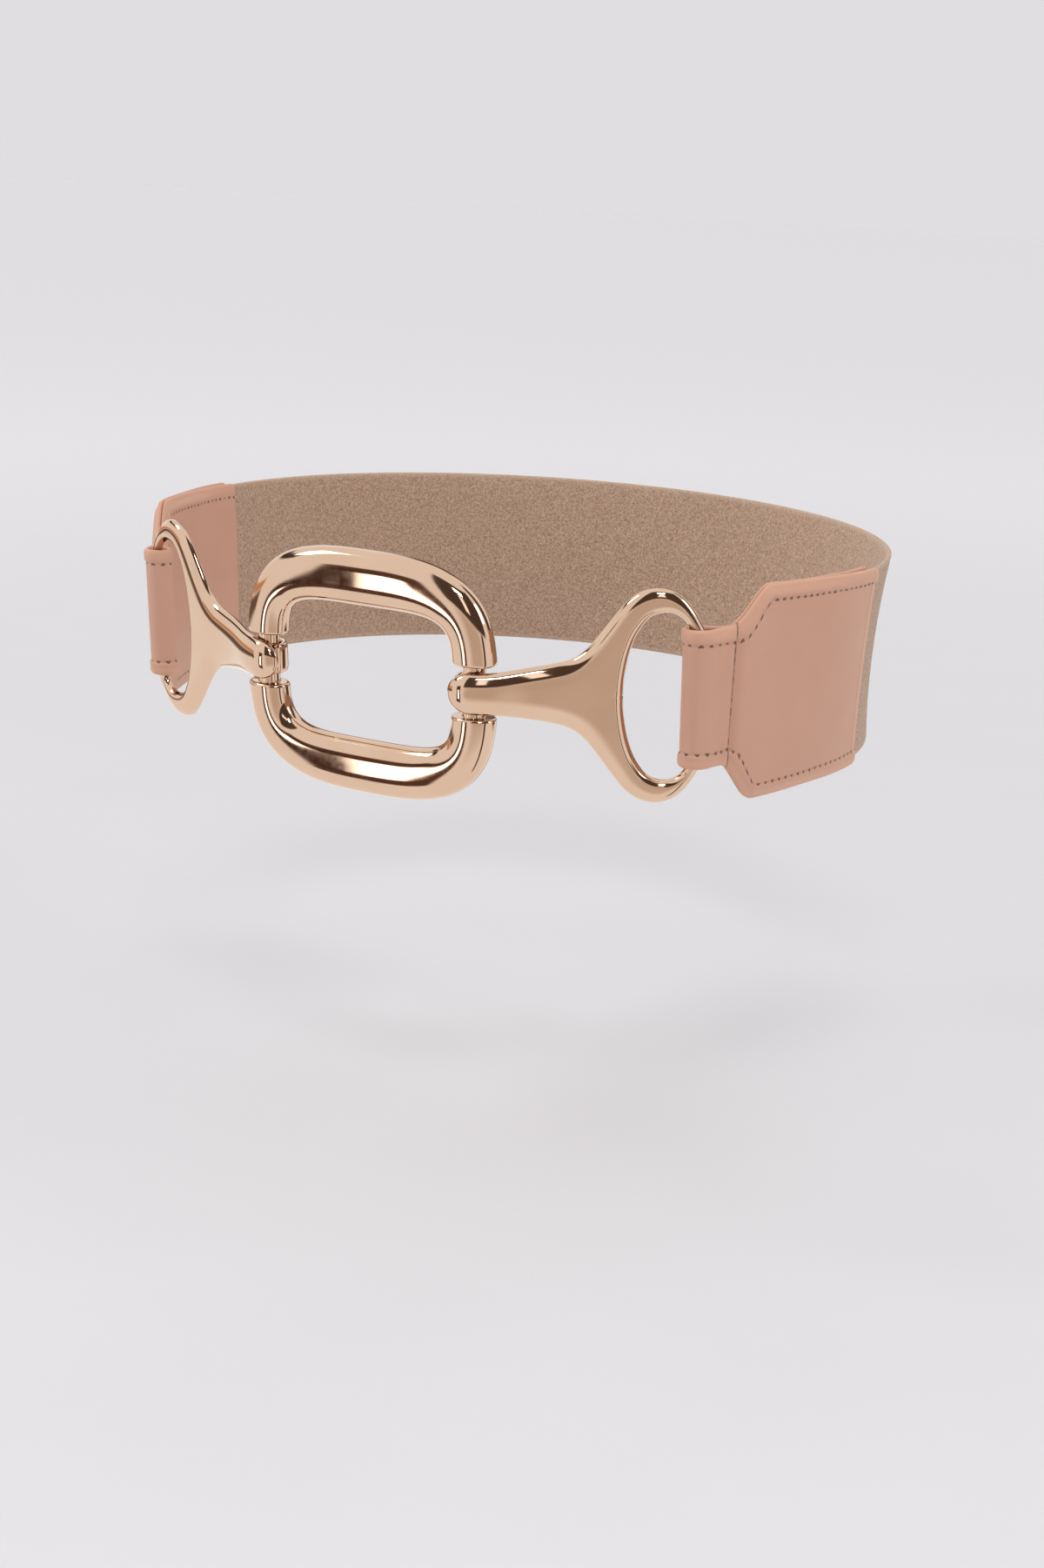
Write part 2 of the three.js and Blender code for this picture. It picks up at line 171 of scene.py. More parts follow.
def angle_at(height, half_height, power):
    """The angle at which that rounded rectangle is at a height, from the same equation."""
    share = height / half_height
    return math.atan2(share, (1 - share**power) ** (1 / power))


def swollen(value, power):
    """A sine or cosine raised to a power with its sign kept, which turns a circle into a fuller section."""
    return np.sign(value) * np.abs(value) ** power


def ring_quarter():
    """Sections from the middle of the right-hand bar up to the middle of the top: the centre, the half width
    as a vector, the half thickness and the fullness of each. The bar is a circle, then a small fillet leads
    out to the flat end of the band, a larger one round its rim, and from there the section spans the
    inner and outer rounded rectangles."""
    half, inner_half = RING_WIDTH / 2, RING_WIDTH / 2 - RING_SIDE_BAND
    tall, inner_tall = RING_HEIGHT / 2, RING_HEIGHT / 2 - RING_TOP_BAND
    end = RING_BAR_LENGTH / 2
    start = end + RING_END_ROUND
    along = np.linspace(0, 1, QUARTER_STATIONS)
    edges = []
    for width, height, power in ((half, tall, RING_OUTER_POWER), (inner_half, inner_tall, RING_INNER_POWER)):
        low = angle_at(start, height, power)
        edges.append(rounded_edge(low + (math.pi / 2 - low) * along, width, height, power))
    outer, inner = edges
    centre, arm = (outer + inner) / 2, (outer - inner) / 2
    thick = np.full(QUARTER_STATIONS, RING_THICKNESS / 2)
    wide = arm[0, 0]

    turn = np.linspace(0, math.pi / 2, FILLET_STATIONS)[:-1]
    inset = RING_END_ROUND * (1 - np.sin(turn))
    rim_z = start - RING_END_ROUND * np.cos(turn)
    foot_turn = np.linspace(0, math.pi / 2, FILLET_STATIONS)
    foot_radius = RING_BAR_RADIUS + RING_FOOT_ROUND * (1 - np.cos(foot_turn))
    foot_z = end - RING_FOOT_ROUND * (1 - np.sin(foot_turn))
    bar_z = np.linspace(0, foot_z[0], BAR_STATIONS)[:-1]
    z = np.concatenate([bar_z, foot_z, rim_z])
    x_half = np.concatenate([np.full(len(bar_z), RING_BAR_RADIUS), foot_radius, wide - inset])
    y_half = np.concatenate([np.full(len(bar_z), RING_BAR_RADIUS), foot_radius, thick[0] - inset])
    middle = np.stack([np.full(len(z), centre[0, 0]), z], axis=-1)
    spread = np.stack([x_half, np.zeros(len(z))], axis=-1)
    full = np.concatenate([np.ones(len(bar_z) + len(foot_z)), np.full(len(rim_z), RING_SECTION_BULGE)])
    return (
        np.concatenate([middle, centre]),
        np.concatenate([spread, arm]),
        np.concatenate([y_half, thick]),
        np.concatenate([full, np.full(QUARTER_STATIONS, RING_SECTION_BULGE)]),
    )


def place_ring(points):
    """Ring coordinates to the row frame: its top leaned forward, then set out in front and a little low."""
    c, s = math.cos(RING_LEAN), math.sin(RING_LEAN)
    x, y, z = np.moveaxis(points, -1, 0)
    return np.stack([x, y * c - z * s - RING_STANDOFF, y * s + z * c - RING_DROP], axis=-1)


def ring_bow(x):
    """The ring bows back towards the waist with the square of the distance from its middle."""
    return RING_BOW * (x / (RING_WIDTH / 2)) ** 2


def ring_points():
    """Sections all round the ring from four mirrored quarters, each with points at
    centre + half width * cos(t)^fullness across and half thickness * sin(t)^fullness outwards."""
    centre, spread, thick, full = ring_quarter()
    mirrored = [
        (flip * values)[::order][: -1]
        for values in (centre, spread)
        for flip, order in (([1, 1], 1), ([-1, 1], -1), ([-1, -1], 1), ([1, -1], -1))
    ]
    centre, spread = np.concatenate(mirrored[:4]), np.concatenate(mirrored[4:])
    thick = np.concatenate([thick[:-1], thick[:0:-1]] * 2)
    full = np.concatenate([full[:-1], full[:0:-1]] * 2)
    t = np.linspace(0, 2 * math.pi, SECTION_SIDES, endpoint=False)[None, :]
    across, out = swollen(np.cos(t), full[:, None]), swollen(np.sin(t), full[:, None]) * thick[:, None]
    x = centre[:, :1] + spread[:, :1] * across
    z = centre[:, 1:] + spread[:, 1:] * across
    return place_ring(np.stack([x, ring_bow(x) - out, z], axis=-1))


points = ring_points()
ring = closed_piece(
    "ring", points, grid_faces(*points.shape[:2], closed_rows=True, closed_columns=True), rose_gold
)
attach(ring, "root")
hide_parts("buckle_ring")

# The two arms are cast and plated like the ring: a neck with a nose that laps over the ring's bar, spreading
# into a D-shaped loop whose straight bar holds the leather. The left arm's eye is closed behind the ring's
# bar, and the right arm's is an open hook, so the belt is taken off by slipping that one free.
WAIST_HALF_WIDTH = 112.3
WAIST_HALF_DEPTH = 102.8
TAB_ANGLE = math.radians(51)
ARM_LEAN = math.radians(5)
ARM_BAR_STANDOFF = 4
ARM_THICKNESS = 5.6
ARM_BAR_THICKNESS = 4.2
ARM_BAR_WIDTH = 4
BAR_END = 19.7
LOOP_HEIGHT = 61.8
NECK_HEIGHT = 11.9
NOSE_REACH = 7.4
NOSE_RISE = 3.6
NOSE_RISE_RUN = 14
NOSE_TIP_FALL = 1.6
NOSE_TIP_BULGE = 0.9
SLOT_END_SHARE = 0.93
OUTER_ROLL = 5.9
BAR_ROLL = 3.1
SLOT_ROLL = 2.2
NOSE_SPINE = 1.5
NOSE_RUN = 3
NOSE_POINTS = 40
EYE_RADIUS = 3.6
EYE_WALL = 2
EYE_HEIGHT = 8.7
EYE_END_ROUND = 0.6
EYE_SECTION_DEPTH_BULGE = 0.6
EYE_SECTION_HEIGHT_BULGE = 0.35
EYE_HOOK_DEGREES = (165, 275)
EYE_CLOSED_DEGREES = (165, 375)
EYE_STATIONS = 48
EYE_END_STATIONS = 7
EYE_SIDES = 40
ARM_STATIONS = 260
ARM_ROWS = 40
SPAN_POINTS = 14
WAIST_POINTS = 4001

# Upper edge of an arm: share of the way from the ring's bar to the outer side of the loop's bar, and share of
# the way from the neck's half height to the loop's half height
ARM_EDGE = [
    (0, 0), (0.097, 0.008), (0.165, 0.028), (0.247, 0.06), (0.329, 0.096), (0.412, 0.15),
    (0.47, 0.24), (0.518, 0.37), (0.567, 0.535), (0.615, 0.7), (0.663, 0.845), (0.712, 0.94),
    (0.76, 0.988), (0.809, 1), (0.857, 0.972), (0.906, 0.895), (0.944, 0.79), (0.973, 0.675),
]
# Upper half of the slot: share of the way to the inner side of the loop's bar, and share of the loop's half
# height
SLOT_EDGE = [
    (0.697, 0), (0.701, 0.16), (0.718, 0.36), (0.743, 0.52), (0.774, 0.635),
    (0.812, 0.727), (0.858, 0.771), (0.91, 0.778), (0.956, 0.742), (0.987, 0.68),
]


def waist_line():
    """Distances along the ellipse round the waist from the right arm's bar, with its points and normals."""
    angle = np.linspace(TAB_ANGLE - math.pi / 2, 3 * math.pi / 2 - TAB_ANGLE, WAIST_POINTS)
    point = np.stack([WAIST_HALF_WIDTH * np.cos(angle), WAIST_HALF_DEPTH * np.sin(angle)], axis=-1)
    normal = np.stack([WAIST_HALF_DEPTH * np.cos(angle), WAIST_HALF_WIDTH * np.sin(angle)], axis=-1)
    normal /= np.linalg.norm(normal, axis=-1, keepdims=True)
    steps = np.linalg.norm(np.diff(point, axis=0), axis=-1)
    return np.concatenate([[0], np.cumsum(steps)]), point, normal


LINE_DISTANCE, LINE_POINT, LINE_NORMAL = waist_line()
LOOP_LENGTH = LINE_DISTANCE[-1]
bar_normal = np.append(LINE_NORMAL[0], 0)
bar_place = np.append(LINE_POINT[0], 0) + ARM_BAR_STANDOFF * bar_normal
ring_bar_x = (RING_WIDTH - RING_SIDE_BAND) / 2
arm_start = place_ring(np.array([ring_bar_x, ring_bow(ring_bar_x), 0]))
arm_axis = bar_place - arm_start
ARM_LENGTH = np.linalg.norm(arm_axis)
arm_axis = arm_axis / ARM_LENGTH
arm_rise = bar_normal * math.sin(ARM_LEAN) + np.array([0, 0, math.cos(ARM_LEAN)])
arm_rise = arm_rise - arm_axis * (arm_rise @ arm_axis)
arm_rise = arm_rise / np.linalg.norm(arm_rise)
arm_out = np.cross(arm_axis, arm_rise)


def smoothstep(value, low, high):
    """0 below low, 1 above high, and 3t^2 - 2t^3 between."""
    t = np.clip((value - low) / (high - low), 0, 1)
    return t * t * (3 - 2 * t)


def curve_through(points, per_span=SPAN_POINTS):
    """Cubic spans through the points, where the slope at each is half the step between its neighbours."""
    points = np.array(points, float)
    padded = np.vstack([points[:1], points, points[-1:]])
    a, b, c, d = (padded[k : k + len(points) - 1, None] for k in range(4))
    t = np.linspace(0, 1, per_span, endpoint=False)[None, :, None]
    spans = 0.5 * (2 * b + (c - a) * t + (2 * a - 5 * b + 4 * c - d) * t**2 + (3 * b - a - 3 * c + d) * t**3)
    return np.vstack([spans.reshape(-1, 2), points[-1:]])


def arm_edges():
    """The upper half of the outer edge, from the tip of the nose to the middle of the loop's bar, and the
    upper half of the slot's edge, from its middle at the neck to the same bar."""
    neck, loop = NECK_HEIGHT / 2, LOOP_HEIGHT / 2
    outer_x, inner_x = ARM_LENGTH + ARM_BAR_WIDTH / 2, ARM_LENGTH - ARM_BAR_WIDTH / 2
    turn = np.linspace(0, math.pi / 2, NOSE_POINTS, endpoint=False)
    nose = np.stack([-NOSE_REACH * np.cos(turn), neck * swollen(np.sin(turn), NOSE_TIP_BULGE)], axis=-1)
    edge = [(a * outer_x, neck + s * (loop - neck)) for a, s in ARM_EDGE] + [(outer_x, BAR_END)]
    slot = [(a * inner_x, r * loop) for a, r in SLOT_EDGE] + [(inner_x, BAR_END * SLOT_END_SHARE)]
    outer = np.vstack([nose, curve_through(edge), [outer_x, 0]])
    return outer, np.vstack([curve_through(slot), [inner_x, 0]])


def length_along(line):
    """Distance along a line of points to each of them."""
    return np.concatenate([[0], np.cumsum(np.linalg.norm(np.diff(line, axis=0), axis=-1))])


def sampled(line, distance):
    """Points at distances along a line of points, straight between them."""
    run = length_along(line)
    return np.stack([np.interp(distance, run, line[:, k]) for k in range(line.shape[1])], axis=-1)


def distance_to(points, line):
    """Shortest distance from each point to a line of straight steps."""
    flat = points.reshape(-1, 1, 2)
    start, step = line[None, :-1], np.diff(line, axis=0)[None]
    share = ((flat - start) * step).sum(-1) / (step**2).sum(-1)
    near = start + np.clip(share, 0, 1)[..., None] * step
    return np.linalg.norm(flat - near, axis=-1).min(axis=1).reshape(points.shape[:-1])


def rolled(distance, width):
    """Share of the full thickness at a distance in from an edge: a quarter circle out to that width."""
    return np.sqrt(1 - (1 - np.clip(distance / width, 0, 1)) ** 2)


def arm_points():
    """Front and back of the upper half of an arm. Points lie on straight lines from the slot, or from the
    neck's middle line, to the outer edge, closest at both ends. Half the thickness at each is
    rolled(distance to the outer edge) * rolled(distance to the slot), which makes the neck an ellipse, and
    it is thinner towards the loop's bar. The whole bends forward at the nose, and a groove behind the nose
    clears the ring's bar."""
    outer, slot = arm_edges()
    middle = np.array([[-NOSE_SPINE, 0], [0, 0]])
    inner = np.vstack([middle, slot])
    run_outer, run_inner = length_along(outer), length_along(inner)
    spine = ARM_LENGTH / 2
    widest = outer[:, 0].argmax()
    keys = [
        (0, 0),
        (run_inner[1] + NOSE_RUN, np.interp(NOSE_RUN, outer[:, 0], run_outer)),
        (run_inner[2], np.interp(spine, outer[:widest, 0], run_outer[:widest])),
        (run_inner[2 + slot[:, 1].argmax()], run_outer[outer[:, 1].argmax()]),
        (run_inner[-2], run_outer[-2]),
        (run_inner[-1], run_outer[-1]),
    ]
    key_inner, key_outer = np.array(keys).T
    share = np.linspace(0, 1, ARM_STATIONS) * (len(keys) - 1)
    order = np.arange(len(keys))
    at_inner, at_outer = np.interp(share, order, key_inner), np.interp(share, order, key_outer)
    start, end = sampled(inner, at_inner)[:, None], sampled(outer, at_outer)[:, None]
    w = (1 - np.cos(np.linspace(0, math.pi, ARM_ROWS)))[None, :, None] / 2
    flat = start + (end - start) * w
    from_outer, from_slot = distance_to(flat, outer), distance_to(flat, slot)
    from_outer[:, -1] = 0
    in_loop = at_inner >= run_inner[2]
    from_slot[in_loop, 0] = 0
    x = flat[..., 0]
    slim = smoothstep(x, ARM_LENGTH / 2, ARM_LENGTH - ARM_BAR_WIDTH)
    full = rolled(from_outer, OUTER_ROLL + slim * (BAR_ROLL - OUTER_ROLL)) * rolled(from_slot, SLOT_ROLL)
    half = ARM_THICKNESS / 2 * (1 + slim * (ARM_BAR_THICKNESS / ARM_THICKNESS - 1))
    rise = NOSE_RISE * np.exp(-((np.maximum(x, 0) / NOSE_RISE_RUN) ** 2))
    rise -= NOSE_TIP_FALL * (np.maximum(-x, 0) / NOSE_REACH) ** 2
    front = rise + half * full
    groove = np.sqrt(np.maximum(EYE_RADIUS**2 - x**2, 0))
    back = np.minimum(np.maximum(rise - half * full, groove * (full > 0)), front)
    return [np.stack([x, out, flat[..., 1]], axis=-1) for out in (front, back)]


def place_arm(points, side):
    """Arm coordinates, along the axis, outwards and up, to the row frame, mirrored in X for side -1."""
    along, out, up = (points[..., k : k + 1] for k in range(3))
    placed = arm_start + along * arm_axis + out * arm_out + up * arm_rise
    return placed * [side, 1, 1]


def eye_points(start, end):
    """A band bent round the ring's bar from one angle to another: its section is a rounded rectangle,
    as deep as the wall and as tall as the eye, and its two ends round off and close."""
    turn = np.linspace(math.radians(start), math.radians(end), EYE_STATIONS)
    closing = np.linspace(0, 1, EYE_END_STATIONS)
    middle = np.ones(EYE_STATIONS - 2 * EYE_END_STATIONS)
    shrink = np.concatenate([np.sqrt(1 - (1 - closing) ** 2), middle, np.sqrt(1 - closing**2)])[:, None]
    t = np.linspace(0, 2 * math.pi, EYE_SIDES, endpoint=False)[None, :]
    deep = swollen(np.cos(t), EYE_SECTION_DEPTH_BULGE) * EYE_WALL / 2 * shrink
    tall = swollen(np.sin(t), EYE_SECTION_HEIGHT_BULGE) * (EYE_HEIGHT / 2 - EYE_END_ROUND * (1 - shrink))
    tall = tall * np.sign(shrink)
    radius = EYE_RADIUS + EYE_WALL / 2 + deep
    return np.stack([radius * np.cos(turn)[:, None], radius * np.sin(turn)[:, None], tall], axis=-1)


arm_front, arm_back = arm_points()
quads = grid_faces(*arm_front.shape[:2])
count = arm_front.shape[0] * arm_front.shape[1]
for name, side, eye in (("right", 1, EYE_HOOK_DEGREES), ("left", -1, EYE_CLOSED_DEGREES)):
    halves = [skin * flip for skin in (arm_front, arm_back) for flip in ([1, 1, 1], [1, 1, -1])]
    shells = [place_arm(half, side) for half in halves]
    faces = [quads + k * count for k in range(4)]
    wrap = place_arm(eye_points(*eye), side)
    shells = [shell.reshape(-1, 3) for shell in shells] + [wrap.reshape(-1, 3)]
    faces.append(grid_faces(*wrap.shape[:2], first=4 * count, closed_columns=True))
    arm = closed_piece("arm_" + name, np.vstack(shells), np.vstack(faces), rose_gold)
    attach(arm, "root")
    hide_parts("buckle_arm_" + name)

# Each tab is one piece of dusty-pink leather with its edges turned under and sewn down. It wraps the arm's
# bar, is seamed close behind it, and widens into two panels that are stitched through over the elastic.
SIDE_LEAN = math.radians(2.3)
BACK_LEAN = math.radians(3.1)
WAIST_HOLLOW = 2.7
HOLLOW_SHARE_INSIDE = 0.74
SETTLING_DISTANCE = 50
ELASTIC_WIDTH = 58.6
ELASTIC_THICKNESS = 1.6
LEATHER_THICKNESS = 1.2
TAB_HEIGHT = 40
SEAM_DISTANCE = 10.6
PANEL_LENGTH = 62
PANEL_HEIGHT = 62.8
PANEL_END_HEIGHT = 60
CHAMFER_LENGTH = 12.5
CHAMFER_LEAD = 2
PANEL_CORNER = 2.5
CLEARANCE = 0.3
BAR_RADIUS = 2.5
FOLD_RADIUS = BAR_RADIUS + CLEARANCE + LEATHER_THICKNESS / 2
SEAM_GAP = (LEATHER_THICKNESS + CLEARANCE) / 2
PANEL_GAP = (ELASTIC_THICKNESS + LEATHER_THICKNESS) / 2 + CLEARANCE
ELASTIC_INSET = 4
ELASTIC_LEAD = 1
ELASTIC_START = SEAM_DISTANCE + ELASTIC_INSET
PANEL_END = SEAM_DISTANCE + PANEL_LENGTH
EDGE_ROLL = 0.75
HEM_WIDTH = 4.3
HEM_PUFF = 0.5
HEM_PUFF_ROLL = 2.2
HEM_FALL_BEFORE = 1.2
HEM_FALL_AFTER = 0.6
HEM_GROOVE = 0.3
HEM_GROOVE_WIDTH = 0.32
HEM_TOUCH = 0.03
HEM_SHUT_OUT_TO = 1
HEM_OPEN_FROM = 3.4
RELIEF_ROLL = 1
SEAM_GROOVE = 0.45
SEAM_GROOVE_WIDTH = 0.5
END_CREASE = 0.18
END_CREASE_WIDTH = 0.3
END_CREASE_INSET = 3.8
TAB_CREASE = 0.14
TAB_CREASE_WIDTH = 0.25
TAB_CREASE_INSET = 2.9
STITCH_PITCH = 2.8
LEATHER_STEP = 0.6
STATION_CROWDING = 1.15
FOLD_STEPS = 18
FACE_ROWS = 18
# Rows of points at these distances in from each edge of the leather, closest at the edge and the stitch line
HEM_ROWS = [
    0, 0.06, 0.2, 0.42, 0.75, 1.2, 1.7, 2.2, 2.7, 3.15,
    3.5, 3.8, 4.05, 4.3, 4.55, 4.8, 5.15, 5.7, 6.5,
]


def strap_point(distance, out, height):
    """A point of the strap from its distance along the waist line, out from its middle layer, and height.
    Beside the arm's bar its height runs along the bar. Further round it leans out at the top, stands off
    less and less, and hollows with the square of the height."""
    on_line = np.clip(distance, 0, LOOP_LENGTH)
    point = np.stack([np.interp(on_line, LINE_DISTANCE, LINE_POINT[:, k]) for k in (0, 1)], axis=-1)
    normal = np.stack([np.interp(on_line, LINE_DISTANCE, LINE_NORMAL[:, k]) for k in (0, 1)], axis=-1)
    along = np.stack([-normal[..., 1], normal[..., 0]], axis=-1)
    point = point + along * (distance - on_line)[..., None]
    zero = np.zeros(point.shape[:-1] + (1,))
    point, normal = np.concatenate([point, zero], -1), np.concatenate([normal, zero], -1)
    from_bar = np.minimum(distance, LOOP_LENGTH - distance)
    lean = SIDE_LEAN + (BACK_LEAN - SIDE_LEAN) * smoothstep(from_bar, PANEL_END / 2, 2 * PANEL_END)
    hollow = WAIST_HOLLOW * smoothstep(from_bar, PANEL_END / 2, 2 * PANEL_END)
    bend = hollow * ((2 * height / ELASTIC_WIDTH) ** 2 - HOLLOW_SHARE_INSIDE)
    rise = normal * np.sin(lean)[..., None]
    rise[..., 2] = np.cos(lean)
    away = smoothstep(from_bar, FOLD_RADIUS, ELASTIC_START)[..., None]
    rise = arm_rise + (rise - arm_rise) * away
    rise = rise / np.linalg.norm(rise, axis=-1, keepdims=True)
    standoff = ARM_BAR_STANDOFF * (1 - smoothstep(from_bar, 0, SETTLING_DISTANCE))
    return point + normal * (out + standoff + bend)[..., None] + rise * height[..., None]


def leather_gap(distance):
    """Half the space between the two layers: round the bar, pinched at the seam, open for the elastic."""
    closing = smoothstep(distance, FOLD_RADIUS / 2, SEAM_DISTANCE)
    opening = smoothstep(distance, SEAM_DISTANCE, ELASTIC_START - ELASTIC_LEAD)
    gap = FOLD_RADIUS + (SEAM_GAP - FOLD_RADIUS) * closing
    return gap + (PANEL_GAP - gap) * opening


def half_height(distance):
    """Half the height of the leather: the tab, a slanted shoulder, then the panel, which narrows a little
    and has rounded corners at its end."""
    lead = SEAM_DISTANCE - CHAMFER_LEAD
    shoulder = smoothstep(distance, lead, lead + CHAMFER_LENGTH)
    taper = np.maximum(0, distance - SEAM_DISTANCE) / PANEL_LENGTH
    panel = (PANEL_HEIGHT + (PANEL_END_HEIGHT - PANEL_HEIGHT) * taper) / 2
    into = np.clip(distance - (PANEL_END - PANEL_CORNER), 0, PANEL_CORNER)
    corner = PANEL_CORNER - np.sqrt(PANEL_CORNER**2 - into**2)
    return TAB_HEIGHT / 2 + (panel - TAB_HEIGHT / 2) * shoulder - corner / 2


def leather_path():
    """The middle layer of the leather seen from above: along the front panel, round the bar, and back
    behind the elastic. Gives the distance along the belt, out from its middle, and the flat length."""
    stations = int(PANEL_END / LEATHER_STEP)
    front = PANEL_END * np.sin(np.linspace(math.pi / 2, 0, stations)) ** STATION_CROWDING
    turn = np.linspace(0, math.pi, FOLD_STEPS + 1)[1:-1]
    distance = np.concatenate([front, -FOLD_RADIUS * np.sin(turn), front[::-1]])
    out = np.concatenate([leather_gap(front), FOLD_RADIUS * np.cos(turn), -leather_gap(front[::-1])])
    return distance, out, length_along(np.stack([distance, out], axis=-1))


def leather_shell():
    """Outer and inner skins of the folded leather. Rows close in on the edges, where the skin rolls over.
    On the outside the turned hem stands proud up to its stitch line. That line, the seam across the tab and
    the creases at the panel's end and in the tab's hem are grooves, depth * exp(-(distance / width)^2).
    Between the bar and the panel's middle the two layers are pressed together along their edges."""
    distance, out, flat = leather_path()
    front = (out > 0) | (distance < 0)
    step_s = np.gradient(distance, flat)
    step_o = np.gradient(out, flat)
    half = half_height(distance)
    slope = np.gradient(half_height(np.clip(distance, 0, PANEL_END - PANEL_CORNER)), flat)
    steep = np.sqrt(1 + slope**2)
    hem = np.array(HEM_ROWS)
    face = np.linspace(0, 1, FACE_ROWS + 2)[1:-1]
    inside = half[:, None] - hem[None, -1:] * steep[:, None]
    edge_rows = half[:, None] - hem[None] * steep[:, None]
    middle_rows = inside * (1 - 2 * face[None])
    height = np.hstack([edge_rows, middle_rows, -edge_rows[:, ::-1]])
    from_edge = (half[:, None] - np.abs(height)) / steep[:, None]
    from_end = (PANEL_END - distance)[:, None]
    roll = rolled(np.minimum(from_edge, from_end), LEATHER_THICKNESS * EDGE_ROLL)
    line = HEM_GROOVE * np.exp(-(((from_edge - HEM_WIDTH) / HEM_GROOVE_WIDTH) ** 2))
    puff = HEM_PUFF * rolled(from_edge, HEM_PUFF_ROLL)
    puff = puff * (1 - smoothstep(from_edge, HEM_WIDTH - HEM_FALL_BEFORE, HEM_WIDTH + HEM_FALL_AFTER))
    seam = SEAM_GROOVE * np.exp(-(((distance - SEAM_DISTANCE) / SEAM_GROOVE_WIDTH) ** 2))[:, None]
    crease = END_CREASE * np.exp(-(((from_end - END_CREASE_INSET) / END_CREASE_WIDTH) ** 2))
    fold = TAB_CREASE * np.exp(-(((from_edge - TAB_CREASE_INSET) / TAB_CREASE_WIDTH) ** 2))
    fold = fold * (distance < SEAM_DISTANCE)[:, None]
    shown = front[:, None] * smoothstep(from_end, 0, LEATHER_THICKNESS / 2)
    relief = (puff - line - seam - crease - fold) * shown * rolled(from_edge, RELIEF_ROLL)
    closed = 1 - smoothstep(from_edge, HEM_SHUT_OUT_TO, HEM_OPEN_FROM)
    closed = closed * (1 - smoothstep(distance, PANEL_END / 2, PANEL_END))[:, None]
    closed = closed * smoothstep(distance, 0, SEAM_DISTANCE)[:, None]
    shut = np.sign(out)[:, None] * (LEATHER_THICKNESS / 2 + HEM_TOUCH)
    middle_out = out[:, None] + (shut - out[:, None]) * closed
    skins = []
    for side, lift in ((1, relief), (-1, 0)):
        offset = side * LEATHER_THICKNESS / 2 * roll + lift
        s = distance[:, None] + offset * step_o[:, None]
        o = middle_out - offset * step_s[:, None]
        skins.append(strap_point(s + 0 * height, o, height))
    run = np.concatenate([[0], np.cumsum(steep[1:] * np.diff(flat))])
    marks = np.stack([run[:, None] + 0 * height, height, from_edge], axis=-1)
    return skins, marks


def skin_piece(name, skins, marks, title, side, material):
    """A closed piece from an outer and an inner skin that meet along all four edges, mirrored for side -1."""
    faces = grid_faces(*skins[0].shape[:2])
    both = [(skin * [side, 1, 1]).reshape(-1, 3) for skin in skins]
    faces = np.vstack([faces, faces + len(both[0])])
    values = np.vstack([marks.reshape(-1, 3)] * 2)
    return closed_piece(name, np.vstack(both), faces, material, {title: values})


leather_skins, leather_marks = leather_shell()
leather_distance, _, leather_flat = leather_path()
front_panel = slice(0, int(PANEL_END / LEATHER_STEP))
hem_run = leather_marks[front_panel, 0, 0]
seam_run = np.interp(SEAM_DISTANCE, leather_distance[front_panel][::-1], hem_run[::-1])

# Smooth calf leather with a light finish: a soft sheen, a fine grain, a slightly cloudy colour, a painted
# highlight that makes it paler over the turned hem and the panel's end, painted shade for the needle holes,
# and a dark uneven line of painted shade in the seam's groove.
calf, tree, output = new_material("dusty_pink_calf_leather")
GRAIN_MM = 0.7
CLOUD_MM = 16
RAGGED_MM = 1.6
HIGHLIGHT_FROM = 1.2
HIGHLIGHT_SHORT_OF_HEM = 0.4
HOLE_HALF_WIDTH = 0.4
HOLE_HALF_LENGTH = 0.6
HOLE_SLANT = -0.5
HOLE_RAGGED = 3
HOLE_DARK_TO = 2.2
HOLE_GONE_AT = 2.9
place = add(tree, "TexCoord").outputs["Object"]
cut = add(tree, "SeparateXYZ", {"Vector": add(tree, "Attribute", attribute_name="cut").outputs["Vector"]})
flat, _, from_edge = cut.outputs
cloud = add(tree, "TexNoise", {"Vector": place, "Scale": 1 / (CLOUD_MM * MM), "Detail": 3})
grain = add(tree, "TexVoronoi", {"Vector": place, "Scale": 1 / (GRAIN_MM * MM), "Randomness": 1},
            feature="SMOOTH_F1")
fine = add(tree, "TexNoise", {"Vector": place, "Scale": 2 / (GRAIN_MM * MM), "Detail": 4})
face = add(tree, "Mix", {"Factor": cloud.outputs["Fac"], "A": linear("#CFA28C"), "B": linear("#C79882")},
           data_type="RGBA")
# Painted highlight: the colour is mixed paler over the puffed hem, fading out before the stitch line, and
# over the strip between the panel's end and its crease.
hem_highlight = add(tree, "MapRange", {"Value": from_edge, "From Min": HIGHLIGHT_FROM,
                                "From Max": HEM_WIDTH - HIGHLIGHT_SHORT_OF_HEM, "To Min": 0.65, "To Max": 0},
             interpolation_type="SMOOTHSTEP")
end = add(tree, "MapRange", {"Value": flat, "From Min": HIGHLIGHT_FROM, "From Max": END_CREASE_INSET,
                             "To Min": 0.8, "To Max": 0}, interpolation_type="SMOOTHSTEP")
hem_highlight = add(tree, "Math", {0: hem_highlight.outputs["Result"], 1: end.outputs["Result"]}, operation="MAXIMUM")
lit = add(tree, "Mix", {"Factor": hem_highlight.outputs[0], "A": face.outputs[2], "B": linear("#D8A78B")},
          data_type="RGBA")
